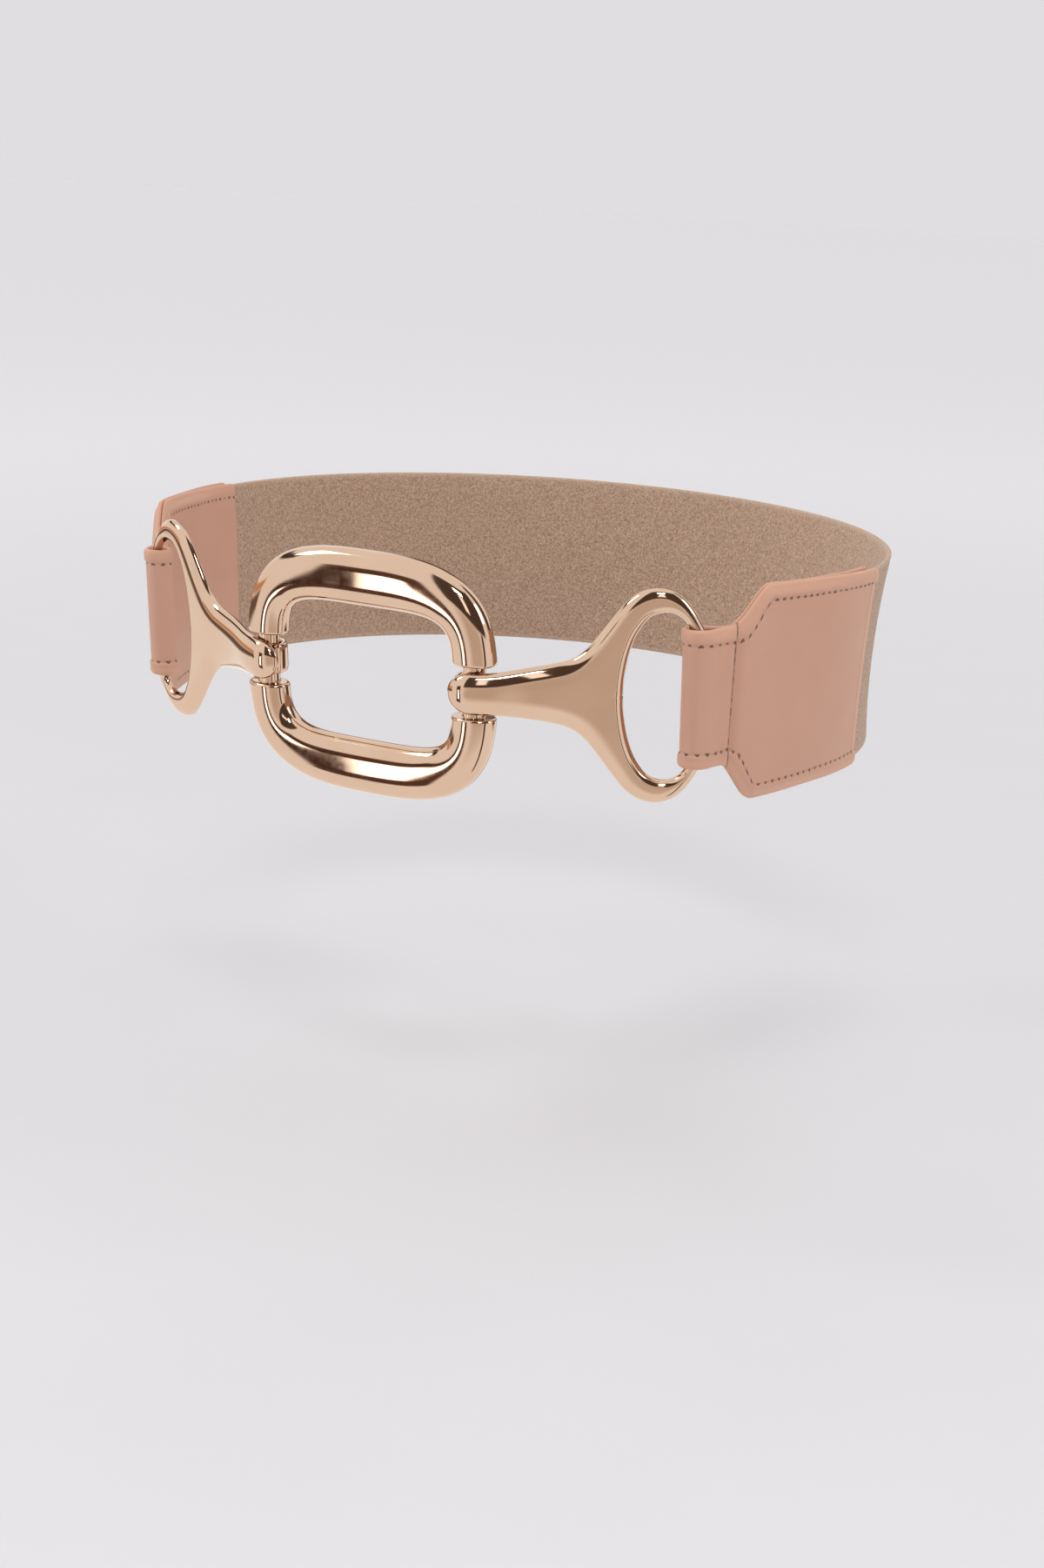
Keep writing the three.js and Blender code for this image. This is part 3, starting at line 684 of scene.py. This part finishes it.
# Painted shade in the needle holes: dark slanted spots with ragged edges along each hem's stitch line, one
# every stitch pitch.
run = add(tree, "Math", {0: flat, 1: STITCH_PITCH / 2}, operation="PINGPONG")
to_hole = add(tree, "Math", {0: run.outputs[0], 1: HOLE_HALF_LENGTH}, operation="DIVIDE")
to_line = add(tree, "Math", {0: from_edge, 1: HEM_WIDTH}, operation="SUBTRACT")
slant = add(tree, "Math", {0: run.outputs[0], 1: HOLE_SLANT, 2: to_line.outputs[0]},
            operation="MULTIPLY_ADD")
across = add(tree, "Math", {0: slant.outputs[0], 1: HOLE_HALF_WIDTH}, operation="DIVIDE")
square = add(tree, "Math", {0: to_hole.outputs[0], 1: to_hole.outputs[0]}, operation="MULTIPLY")
radius = add(tree, "Math", {0: across.outputs[0], 1: across.outputs[0], 2: square.outputs[0]},
             operation="MULTIPLY_ADD")
uneven = add(tree, "TexNoise", {"Vector": place, "Scale": 1 / (RAGGED_MM * MM), "Detail": 2})
ragged = add(tree, "Math", {0: uneven.outputs["Fac"], 1: HOLE_RAGGED, 2: radius.outputs[0]},
             operation="MULTIPLY_ADD")
hole_shade = add(tree, "MapRange", {"Value": ragged.outputs[0], "From Min": HOLE_DARK_TO,
                              "From Max": HOLE_GONE_AT, "To Min": 0.85, "To Max": 0},
           interpolation_type="SMOOTHSTEP")
# Painted shade in the seam's groove: a thin dark line across the tab, its strength varied by noise.
off_seam = add(tree, "Math", {0: flat, 1: -seam_run}, operation="ADD")
off_seam = add(tree, "Math", {0: off_seam.outputs[0]}, operation="ABSOLUTE")
thin = add(tree, "MapRange", {"Value": uneven.outputs["Fac"], "From Min": 0.35, "From Max": 0.6,
                              "To Min": 0.3, "To Max": 0.9})
line = add(tree, "MapRange", {"Value": off_seam.outputs[0], "From Min": 0.1, "From Max": 0.4, "To Min": 1,
                              "To Max": 0}, interpolation_type="SMOOTHSTEP")
line = add(tree, "Math", {0: line.outputs["Result"], 1: thin.outputs["Result"]}, operation="MULTIPLY")
# The painted shade of the needle holes and of the seam's groove, mixed in as one dark brown.
painted_shade = add(tree, "Math", {0: hole_shade.outputs["Result"], 1: line.outputs[0]}, operation="MAXIMUM")
skin = add(tree, "Mix", {"Factor": painted_shade.outputs[0], "A": lit.outputs[2], "B": linear("#5E4034")},
           data_type="RGBA")
pore = add(tree, "Math", {0: grain.outputs["Distance"], 1: 0.5, 2: fine.outputs["Fac"]},
           operation="MULTIPLY_ADD")
relief = add(tree, "Bump", {"Height": pore.outputs[0], "Strength": 0.35, "Distance": 0.06 * MM})
sheen = add(tree, "MapRange", {"Value": fine.outputs["Fac"], "To Min": 0.42, "To Max": 0.58})
surface = add(tree, "BsdfPrincipled", {"Base Color": skin.outputs[2], "Roughness": sheen.outputs["Result"],
                                       "Specular IOR Level": 0.35, "Normal": relief.outputs["Normal"]})
tree.links.new(surface.outputs["BSDF"], output.inputs["Surface"])

# The tabs are sewn with a twisted and waxed thread of the leather's own colour, which has a dull shine. Its
# stitches sink into the leather at both ends.
thread, tree, output = new_material("waxed_dusty_pink_thread")
THREAD_RADIUS = 0.26
TWIST_MM = 1
HOLE_INSET = 0.5
STITCH_SLANT = 0.3
STITCH_SINK = 0.5
STITCH_RISE = 0.02
STITCH_FULLNESS = 0.35
STITCH_END_POWER = 6
STITCH_STEPS = 9
THREAD_SIDES = 8
FIRST_STITCH = 1
# A wave pattern of scale 1 repeats every 0.628 m along an axis
WAVE_REPEAT = 0.628
place = add(tree, "TexCoord").outputs["Object"]
twist = add(tree, "TexWave", {"Vector": place, "Scale": WAVE_REPEAT / (TWIST_MM * MM)},
            bands_direction="DIAGONAL")
strand = add(tree, "Mix", {"Factor": twist.outputs["Fac"], "A": linear("#B98A74"), "B": linear("#CFA189")},
             data_type="RGBA")
ply = add(tree, "Bump", {"Height": twist.outputs["Fac"], "Strength": 0.5, "Distance": 0.05 * MM})
wax = add(tree, "BsdfPrincipled", {"Base Color": strand.outputs[2], "Roughness": 0.5,
                                   "Normal": ply.outputs["Normal"]})
tree.links.new(wax.outputs["BSDF"], output.inputs["Surface"])


def stitch_tubes(distance, height, depth):
    """Tubes round lines of points on the front panel, given by distance, height and depth below the
    leather's face. Each line is one row. It sinks at both ends as 1 - sin(pi u)^fullness for u from 0 to 1,
    and there the tube's radius closes to a point."""
    u = np.linspace(0, 1, STITCH_STEPS)
    out = leather_gap(distance) + LEATHER_THICKNESS / 2 - depth
    out = out + STITCH_RISE - STITCH_SINK * (1 - np.sin(math.pi * u) ** STITCH_FULLNESS)
    line = strap_point(distance, out, height)
    ahead = np.gradient(line, axis=1)
    ahead /= np.linalg.norm(ahead, axis=-1, keepdims=True)
    outward = line - strap_point(distance, out - 1, height)
    beside = np.cross(ahead, outward)
    beside /= np.linalg.norm(beside, axis=-1, keepdims=True)
    over = np.cross(beside, ahead)
    t = np.linspace(0, 2 * math.pi, THREAD_SIDES, endpoint=False)
    radius = THREAD_RADIUS * np.sqrt(1 - (2 * u - 1) ** STITCH_END_POWER)[None, :, None, None]
    ring = np.cos(t)[:, None] * beside[:, :, None] + np.sin(t)[:, None] * over[:, :, None]
    return line[:, :, None] + radius * ring


def hem_stitches():
    """Stitches along the hem lines at the top and bottom of the front panel, one between each two needle
    holes, slanted a little across the line."""
    front = leather_distance >= FIRST_STITCH
    front = front & (np.arange(len(front)) < len(front) / 2)
    distance, run = leather_distance[front], leather_marks[front, 0, 0]
    slope = np.gradient(half_height(np.clip(distance, 0, PANEL_END - PANEL_CORNER)), leather_flat[front])
    line = half_height(distance) - HEM_WIDTH * np.sqrt(1 + slope**2)
    holes = np.arange(STITCH_PITCH, run[-1], STITCH_PITCH)
    u = np.linspace(HOLE_INSET, STITCH_PITCH - HOLE_INSET, STITCH_STEPS)
    at = np.minimum(holes[:-1, None] + u, run[-1])
    along, level = np.interp(at, run, distance), np.interp(at, run, line)
    level = level + STITCH_SLANT * np.linspace(-1, 1, STITCH_STEPS)
    return [stitch_tubes(along, sign * level, HEM_GROOVE) for sign in (1, -1)]


def seam_stitches():
    """Stitches down the seam across the tab, between its two hem lines."""
    top = TAB_HEIGHT / 2 - HEM_WIDTH
    holes = np.linspace(-top, top, int(2 * top / STITCH_PITCH) + 1)
    u = np.linspace(HOLE_INSET, holes[1] - holes[0] - HOLE_INSET, STITCH_STEPS)
    level = holes[:-1, None] + u
    return [stitch_tubes(SEAM_DISTANCE + 0 * level, level, SEAM_GROOVE)]


stitches = np.concatenate(hem_stitches() + seam_stitches())
one_stitch = grid_faces(STITCH_STEPS, THREAD_SIDES, closed_columns=True)
stitch_size = STITCH_STEPS * THREAD_SIDES
stitch_faces = (one_stitch[None] + np.arange(len(stitches))[:, None, None] * stitch_size).reshape(-1, 4)
for name, side in (("right", 1), ("left", -1)):
    sewing = closed_piece("stitches_" + name, stitches * [side, 1, 1], stitch_faces, thread)
    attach(sewing, "root")
    tab = skin_piece("leather_" + name, leather_skins, leather_marks, "cut", side, calf)
    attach(tab, "root")
    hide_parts("leather_tab_" + name)

# The strap is one length of woven elastic, khaki tan, worn stretched: its two ends are stitched between the
# leather panels, and a closer-woven selvedge runs along each edge.
ELASTIC_SELVEDGE = 1.8
ELASTIC_TUCK = 1.2
ELASTIC_STEP = 1
ELASTIC_ROWS = 56
ROW_CROWDING = 0.6
SELVEDGE_GROOVE = 0.18
SELVEDGE_GROOVE_WIDTH = 0.4
SELVEDGE_BLUR = 0.5


def elastic_shell():
    """Outer and inner skins of the band, half a thickness either side of the strap's middle layer and rolled
    together at its edges and ends. The corners of its ends are cut to the leather's shoulders, and a groove
    runs beside each selvedge."""
    run = LOOP_LENGTH - 2 * ELASTIC_START
    distance = ELASTIC_START + np.linspace(0, run, int(run / ELASTIC_STEP))
    into = np.minimum(np.minimum(distance, LOOP_LENGTH - distance), ELASTIC_START + CHAMFER_LENGTH)
    half = np.minimum(ELASTIC_WIDTH / 2, half_height(into) - ELASTIC_TUCK)[:, None]
    even = np.linspace(-1, 1, ELASTIC_ROWS)
    crowded = np.sin(even * math.pi / 2)
    height = (even + ROW_CROWDING * (crowded - even))[None, :] * half
    from_edge = half - np.abs(height)
    from_end = np.minimum(distance - distance[0], distance[-1] - distance)[:, None]
    roll = rolled(np.minimum(from_edge, from_end), ELASTIC_THICKNESS / 2)
    groove = SELVEDGE_GROOVE * np.exp(-(((from_edge - ELASTIC_SELVEDGE) / SELVEDGE_GROOVE_WIDTH) ** 2))
    thick = (ELASTIC_THICKNESS / 2 - groove) * roll
    along = distance[:, None] + 0 * height
    skins = [strap_point(along, side * thick, height) for side in (1, -1)]
    return skins, np.stack([along, height, from_edge], axis=-1)


# Covered rubber woven into a flat webbing: dull and heathered in two tans, with fine ribs across it where it
# is stretched. The real threads, about 0.4 mm apart, are drawn at 0.8 mm so that they show.
webbing, tree, output = new_material("khaki_woven_elastic")
RIB_MM = 0.9
THREAD_MM = 0.8
HEATHER_MM = 0.7
RIB_SHARE = 0.35
weave = add(tree, "Attribute", attribute_name="weave").outputs["Vector"]
place = add(tree, "TexCoord").outputs["Object"]
along, height, from_edge = add(tree, "SeparateXYZ", {"Vector": weave}).outputs
heather = add(tree, "TexNoise", {"Vector": place, "Scale": 1 / (HEATHER_MM * MM), "Detail": 5,
                                 "Roughness": 0.75})
speckle = add(tree, "MapRange", {"Value": heather.outputs["Fac"], "From Min": 0.36, "From Max": 0.64})
tan_cloth = add(tree, "Mix", {"Factor": speckle.outputs["Result"], "A": linear("#93765F"),
                              "B": linear("#CDB09A")}, data_type="RGBA")
woven_edge = add(tree, "MapRange", {"Value": from_edge, "From Min": ELASTIC_SELVEDGE - SELVEDGE_BLUR,
                                    "From Max": ELASTIC_SELVEDGE, "To Min": 0.35, "To Max": 0})
edged = add(tree, "Mix", {"Factor": woven_edge.outputs["Result"], "A": tan_cloth.outputs[2],
                          "B": linear("#C9AE98")}, data_type="RGBA")
rib = add(tree, "Math", {0: along, 1: 2 * math.pi / RIB_MM}, operation="MULTIPLY")
thread = add(tree, "Math", {0: height, 1: 2 * math.pi / THREAD_MM}, operation="MULTIPLY")
rib_wave = add(tree, "Math", {0: rib.outputs[0]}, operation="SINE")
thread_wave = add(tree, "Math", {0: thread.outputs[0]}, operation="COSINE")
over = add(tree, "Math", {0: rib_wave.outputs[0], 1: thread_wave.outputs[0]}, operation="MULTIPLY")
rough = add(tree, "Math", {0: over.outputs[0], 1: RIB_SHARE, 2: heather.outputs["Fac"]},
            operation="MULTIPLY_ADD")
relief = add(tree, "Bump", {"Height": rough.outputs[0], "Strength": 0.6, "Distance": 0.12 * MM})
cloth = add(tree, "BsdfPrincipled", {"Base Color": edged.outputs[2], "Roughness": 0.85,
                                     "Specular IOR Level": 0.2, "Normal": relief.outputs["Normal"],
                                     "Sheen Weight": 0.15})
tree.links.new(cloth.outputs["BSDF"], output.inputs["Surface"])

band_skins, band_marks = elastic_shell()
band = skin_piece("elastic", band_skins, band_marks, "weave", 1, webbing)
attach(band, "root")
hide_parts("elastic_band")

# A pale studio: a matt paper floor well below the belt, a bright room all round and three soft lights. The
# floor is paler further out, so that it meets the plain wall without a line, and the metal doesn't mirror it.
FLOOR_DROP = 170
FLOOR_HALF = 9000
FLOOR_CELLS = 24
FLOOR_PALER_FROM = 300
FLOOR_PALER_TO = 1800
TOOTH_MM = 60


def floor_points():
    """A flat square grid at the floor's height."""
    across = np.linspace(-FLOOR_HALF, FLOOR_HALF, FLOOR_CELLS)
    x, y = np.meshgrid(across, across, indexing="ij")
    return np.stack([x, y, np.full_like(x, -FLOOR_DROP)], axis=-1)


paper, tree, output = new_material("pale_studio_paper")
place = add(tree, "TexCoord").outputs["Object"]
tooth = add(tree, "TexNoise", {"Vector": place, "Scale": 1 / (TOOTH_MM * MM), "Detail": 3})
pale = add(tree, "Mix", {"Factor": tooth.outputs["Fac"], "A": linear("#D8D7DA"), "B": linear("#DBDADD")},
           data_type="RGBA")
away = add(tree, "VectorMath", {0: place}, operation="LENGTH")
far = add(tree, "MapRange", {"Value": away.outputs["Value"], "From Min": FLOOR_PALER_FROM * MM,
                             "From Max": FLOOR_PALER_TO * MM}, interpolation_type="SMOOTHSTEP")
even = add(tree, "Mix", {"Factor": far.outputs["Result"], "A": pale.outputs[2], "B": linear("#EEEDF0")},
           data_type="RGBA")
matt = add(tree, "BsdfPrincipled", {"Base Color": even.outputs[2], "Roughness": 0.9,
                                    "Specular IOR Level": 0.1})
tree.links.new(matt.outputs["BSDF"], output.inputs["Surface"])
points = floor_points()
floor = closed_piece("floor", points, grid_faces(*points.shape[:2]), paper)
floor.visible_glossy = False
floor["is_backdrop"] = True

# The polished metal mirrors the room, so the room has dark and bright fields, as a studio has cards, curtains
# and windows. Each is a rectangle between two angles across and two upwards, in degrees, with edges blurred
# by the next number, then its colour and how many times as bright it is. Azimuth turns from the front to
# the belt's right and elevation rises from the horizon. Sideways is the angle out of the belt's middle plane
# and pitch turns up round its left-right line. The camera itself sees a plain wall.
ROOM_STRENGTH = 1.17
world = bpy.data.worlds.new("studio")
world.use_nodes = True
tree = world.node_tree
tree.nodes.clear()
x, y, z = add(tree, "SeparateXYZ", {"Vector": add(tree, "TexCoord").outputs["Generated"]}).outputs
forward = add(tree, "Math", {0: y, 1: -1}, operation="MULTIPLY")
azimuth = add(tree, "Math", {0: x, 1: forward.outputs[0]}, operation="ARCTAN2").outputs[0]
elevation = add(tree, "Math", {0: z}, operation="ARCSINE").outputs[0]
sideways = add(tree, "Math", {0: x}, operation="ARCSINE").outputs[0]
pitch = add(tree, "Math", {0: z, 1: forward.outputs[0]}, operation="ARCTAN2").outputs[0]
colour = linear("#FFFFFF")
for across, upward, left, right, bottom, top, blur, shade, gain in (
    (azimuth, elevation, -6, 46, -30, 6, 11, "#D6CAC2", 1),
    (sideways, pitch, -36.2, -20, -45, 9, 1.2, "#5E443A", 1),
    (sideways, pitch, -35.6, -31.2, -36, 2, 2, "#42291F", 1),
    (sideways, pitch, -30.9, -25.9, -33, -4, 0.6, "#FFFFFF", 3.4),
    (azimuth, elevation, -130, -62, -13, -6, 1.5, "#75645A", 1),
    (azimuth, elevation, -130, -62, -5, 1, 1.5, "#D6A47A", 1),
    (azimuth, elevation, -110, -60, 24, 34, 2, "#4A403B", 1),
    (azimuth, elevation, -10, 84, 4, 58, 1.5, "#54473F", 1),
    (azimuth, elevation, 20, 30, 14, 36, 1, "#FFFFFF", 1.5),
    (azimuth, elevation, 52, 63, -60, 3, 2, "#54443D", 1),
    (azimuth, elevation, 120, 150, -20, 60, 4, "#5C4E47", 1),
    (azimuth, elevation, -175, -150, -30, 40, 4, "#6A5A52", 1),
):
    inside = None
    for value, low, high in ((across, left, right), (upward, bottom, top)):
        for edge, rising in ((low, 1), (high, 0)):
            ramp = add(tree, "MapRange", {"Value": value, "From Min": math.radians(edge - blur),
                                          "From Max": math.radians(edge + blur), "To Min": 1 - rising,
                                          "To Max": rising}, interpolation_type="SMOOTHSTEP")
            mask = ramp.outputs["Result"]
            inside = mask if inside is None else add(tree, "Math", {0: inside, 1: mask},
                                                     operation="MULTIPLY").outputs[0]
    colour = add(tree, "Mix", {"Factor": inside, "A": colour, "B": [gain * part for part in linear(shade)]},
                 data_type="RGBA").outputs[2]
seen = add(tree, "LightPath").outputs["Is Camera Ray"]
room = add(tree, "Background", {"Color": colour, "Strength": ROOM_STRENGTH})
wall = add(tree, "Background", {"Color": linear("#E0DEE0"), "Strength": 1})
either = add(tree, "MixShader", {0: seen, 1: room.outputs[0], 2: wall.outputs[0]})
tree.links.new(either.outputs[0], add(tree, "OutputWorld").inputs["Surface"])
bpy.context.scene.world = world

# Three soft lights aim at a point just in front of the middle of the belt: a small key light from the right,
# and a wide one from each side. Angles are in degrees, distances and sizes in metres and powers in watts.
LIT_POINT = np.array([0, -20, 0]) * MM
for name, azimuth, elevation, distance, size, power in (
    ("key", 26, 42, 1.5, (0.34, 0.16), 3.4),
    ("side", 95, 30, 1.5, (0.5, 0.6), 3.6),
    ("fill", -60, 40, 1.6, (0.35, 0.5), 3.6),
):
    data = bpy.data.lights.new(name, "AREA")
    data.shape = "RECTANGLE"
    data.size, data.size_y = size
    data.energy = power
    light = bpy.data.objects.new(name, data)
    turn, up = math.radians(azimuth), math.radians(elevation)
    back = np.array([math.sin(turn) * math.cos(up), -math.cos(turn) * math.cos(up), math.sin(up)])
    light.location = LIT_POINT + back * distance
    light.rotation_mode = "QUATERNION"
    light.rotation_quaternion = Vector(back).to_track_quat("Z", "Y")
    bpy.context.scene.collection.objects.link(light)

# The camera stands to the belt's right and a little above it, as in the photograph.
CAMERA_AZIMUTH = math.radians(27.617)
CAMERA_ELEVATION = math.radians(11.594)
CAMERA_ROLL = math.radians(2.573)
CAMERA_PAN = math.radians(0.208)
CAMERA_TILT = math.radians(4.211)
CAMERA_DISTANCE = 725.947
CAMERA_LENS = 52.4
CAMERA_SENSOR = 36


def turned_about(axis, angle):
    """Rotation matrix about one of the camera's own axes."""
    return np.array(Matrix.Rotation(angle, 3, axis))


sine, cosine = math.sin(CAMERA_ELEVATION), math.cos(CAMERA_ELEVATION)
back = np.array([math.sin(CAMERA_AZIMUTH) * cosine, -math.cos(CAMERA_AZIMUTH) * cosine, sine])
side = np.cross([0, 0, 1], back)
side = side / np.linalg.norm(side)
level = np.stack([side, np.cross(back, side), back])
look = turned_about("Z", -CAMERA_ROLL) @ turned_about("X", CAMERA_TILT)
look = look @ turned_about("Y", CAMERA_PAN) @ level
camera_data = bpy.data.cameras.new("camera")
camera_data.sensor_width = CAMERA_SENSOR
camera_data.lens = CAMERA_LENS
camera_data.clip_start = 0.01
camera_data.clip_end = 100
camera = bpy.data.objects.new("camera", camera_data)
stand = Matrix.Translation((back * CAMERA_DISTANCE * MM).tolist())
camera.matrix_world = stand @ Matrix(look.T.tolist()).to_4x4()
bpy.context.scene.collection.objects.link(camera)
bpy.context.scene.camera = camera
bpy.context.scene.view_settings.view_transform = "Standard"

low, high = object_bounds()
